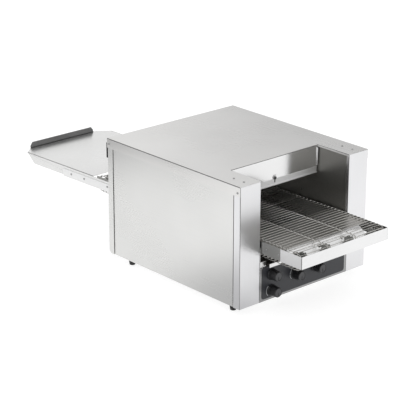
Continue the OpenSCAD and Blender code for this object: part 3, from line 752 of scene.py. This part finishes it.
def make_sprockets():
    """Belt and chain sprockets, whose teeth stop just short of the rods and rollers."""
    root = BELT.radius / MM - 5.4
    for end in ("front", "rear"):
        node = end + "_sprockets"
        wheels = [toothed_wheel(node, (lo.x + hi.x) / 2, AXLE[end], BELT_TEETH, root, root + 3.8, 9, 11, 1.1)
                  for lo, hi in islands(node)]
        stand_for(joined(wheels, node + "_toothed"), [node], "sprocket_steel")
    root = CHAIN.radius / MM - 6.0
    wheel = toothed_wheel("chain_sprocket_toothed", CHAIN_X, AXLE["front"], CHAIN_TEETH, root,
                          root + 3.4, 2.6, 7, 0)
    stand_for(wheel, ["chain_sprocket"], "sprocket_steel")
    motor = Vector(JOINTS["motor_spin"]["pos_m"])
    wheel = toothed_wheel("motor_sprocket_toothed", CHAIN_X, motor, CHAIN_TEETH, root, root + 3.4, 2.6,
                          7, 0)
    lo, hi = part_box("motor_sprocket")
    bpy.ops.mesh.primitive_cylinder_add(vertices=40, radius=5 * MM, depth=hi.x - lo.x,
                                        location=((lo.x + hi.x) / 2, motor.y, motor.z),
                                        rotation=(0, math.radians(90), 0))
    stem = settled(bpy.context.object)
    smooth(stem, 30)
    stand_for(joined([wheel, stem], "motor_sprocket_toothed"), ["motor_sprocket"], "sprocket_steel")


def make_drive_chain():
    """Roller chain: waisted side plates, pins and rollers, link by link."""
    links = round(CHAIN.length / LINK_PITCH)
    pitch = CHAIN.length / links

    def link(outer):
        parts = []
        for side in (-1, 1):
            bpy.ops.mesh.primitive_plane_add(size=1)
            plate = bpy.context.object
            plate.scale = (5.4 * MM, pitch + 5.4 * MM, 1)
            settled(plate)
            apply_modifier(plate, "BEVEL", affect="VERTICES", width=2.2 * MM, segments=2)
            apply_modifier(plate, "SOLIDIFY", thickness=0.8 * MM, offset=0)
            plate.rotation_euler.y = math.radians(90)
            plate.location.x = side * (3.0 if outer else 2.1) * MM
            parts.append(settled(plate))
        for end in (-0.5, 0.5):
            radius, width = (1.5, 7.2) if outer else (2.4, 3.2)
            bpy.ops.mesh.primitive_cylinder_add(vertices=10, radius=radius * MM, depth=width * MM,
                                                location=(0, end * pitch, 0),
                                                rotation=(0, math.radians(90), 0))
            parts.append(settled(bpy.context.object))
        return joined(parts, "chain_link")

    kinds = [link(True), link(False)]
    places = CHAIN.bent(np.array([(CHAIN_X, step * pitch, 0) for step in range(links + 1)]))
    chain = []
    for step in range(links):
        start, end = Vector(places[step]), Vector(places[step + 1])
        copy = bpy.data.objects.new("chain_link_copy", kinds[step % 2].data.copy())
        bpy.context.scene.collection.objects.link(copy)
        way = end - start
        copy.data.transform(Matrix.Translation((start + end) / 2)
                            @ Matrix.Rotation(math.atan2(way.z, way.y), 4, "X"))
        chain.append(copy)
    for kind in kinds:
        bpy.data.objects.remove(kind)
    chain = joined(chain, "drive_chain_linked")
    smooth(chain, 40)
    stand_for(chain, ["drive_chain"], "chain_steel")


def make_conveyor():
    make_wire_belt()
    make_sprockets()
    make_drive_chain()
    formed("left_rail", "rail_steel")
    formed("right_rail", "rail_steel")
    formed("end_guard", "guard_steel")
    for end in ("front", "rear"):
        plate = formed(end + "_slider_plate", "plate_steel", fold="plate_steel")
        # The sloping lip takes the brighter guard finish: a painted reflection of the bright room on the same
        # steel.
        paint_faces(plate, "guard_steel", lambda face: 0.3 < face.normal.z < 0.95)
    formed("conveyor_brackets", "tray_steel")
    tray = formed("crumb_tray", "guard_steel")
    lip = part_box("crumb_tray")[0].y + 1.4 * MM
    # Behind its lip the tray is near-black: baked-on tint together with painted shade of the tunnel.
    paint_faces(tray, "baked_tint_and_painted_shade", lambda face: face.center.y > lip)


def make_exit_tray():
    formed("exit_tray", "tray_steel")
    stop = formed("tray_stop", "stop_coating", fold="stop_coating")
    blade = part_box("tray_stop")[1].y - 2.2 * MM
    # The stop's foot is black as painted shade along the blade's lower edge.
    paint_faces(stop, "black_coating", lambda face: face.center.y < blade)
    formed("left_tray_arm", "guard_steel")
    formed("right_tray_arm", "guard_steel")


# ---- fan ----

def make_fan_guard():
    """Round wire rings and four spokes over the fan's opening."""
    lo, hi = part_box("fan_guard")
    middle = (lo + hi) / 2
    reach = (hi.x - lo.x) / 2
    wires = []
    for ring in range(4):
        radius = reach - 1.1 * MM - ring * 9 * MM
        wires.append(wire("guard_ring", [
            (middle.x + radius * math.cos(step * math.pi / 24), middle.y,
             middle.z + radius * math.sin(step * math.pi / 24)) for step in range(48)], 1.0 * MM, 2, True))
    for spoke in range(4):
        angle = spoke * math.pi / 4
        across = Vector((math.cos(angle), 0, math.sin(angle))) * (reach - 1.5 * MM)
        away = Vector((0, 0.7 * MM, 0))
        wires.append(wire("guard_spoke", [middle - across + away, middle + across + away], 0.9 * MM, 2))
    guard = joined(wires, "fan_guard_wire")
    smooth(guard, 50)
    stand_for(guard, ["fan_guard"], "fastener_steel")


# ---- what stays as the frame made it ----

def finish_remaining_nodes():
    """Every frame part that still shows takes the finish of its slot."""
    by_slot = {"stainless_steel": "tray_steel", "tunnel_steel": "tunnel_steel"}
    for name, part in NODES.items():
        if part.hide_render:
            continue
        slot = SLOT_OF[name]
        part.data.materials.clear()
        part.data.materials.append(FINISH[by_slot.get(slot, slot)])


add_camera()
add_studio()
make_casing()
make_feet()
make_insulation()
make_fasteners()
make_gate_screw()
make_control_panel()
make_knobs()
make_conveyor()
make_exit_tray()
make_fan_guard()
finish_remaining_nodes()
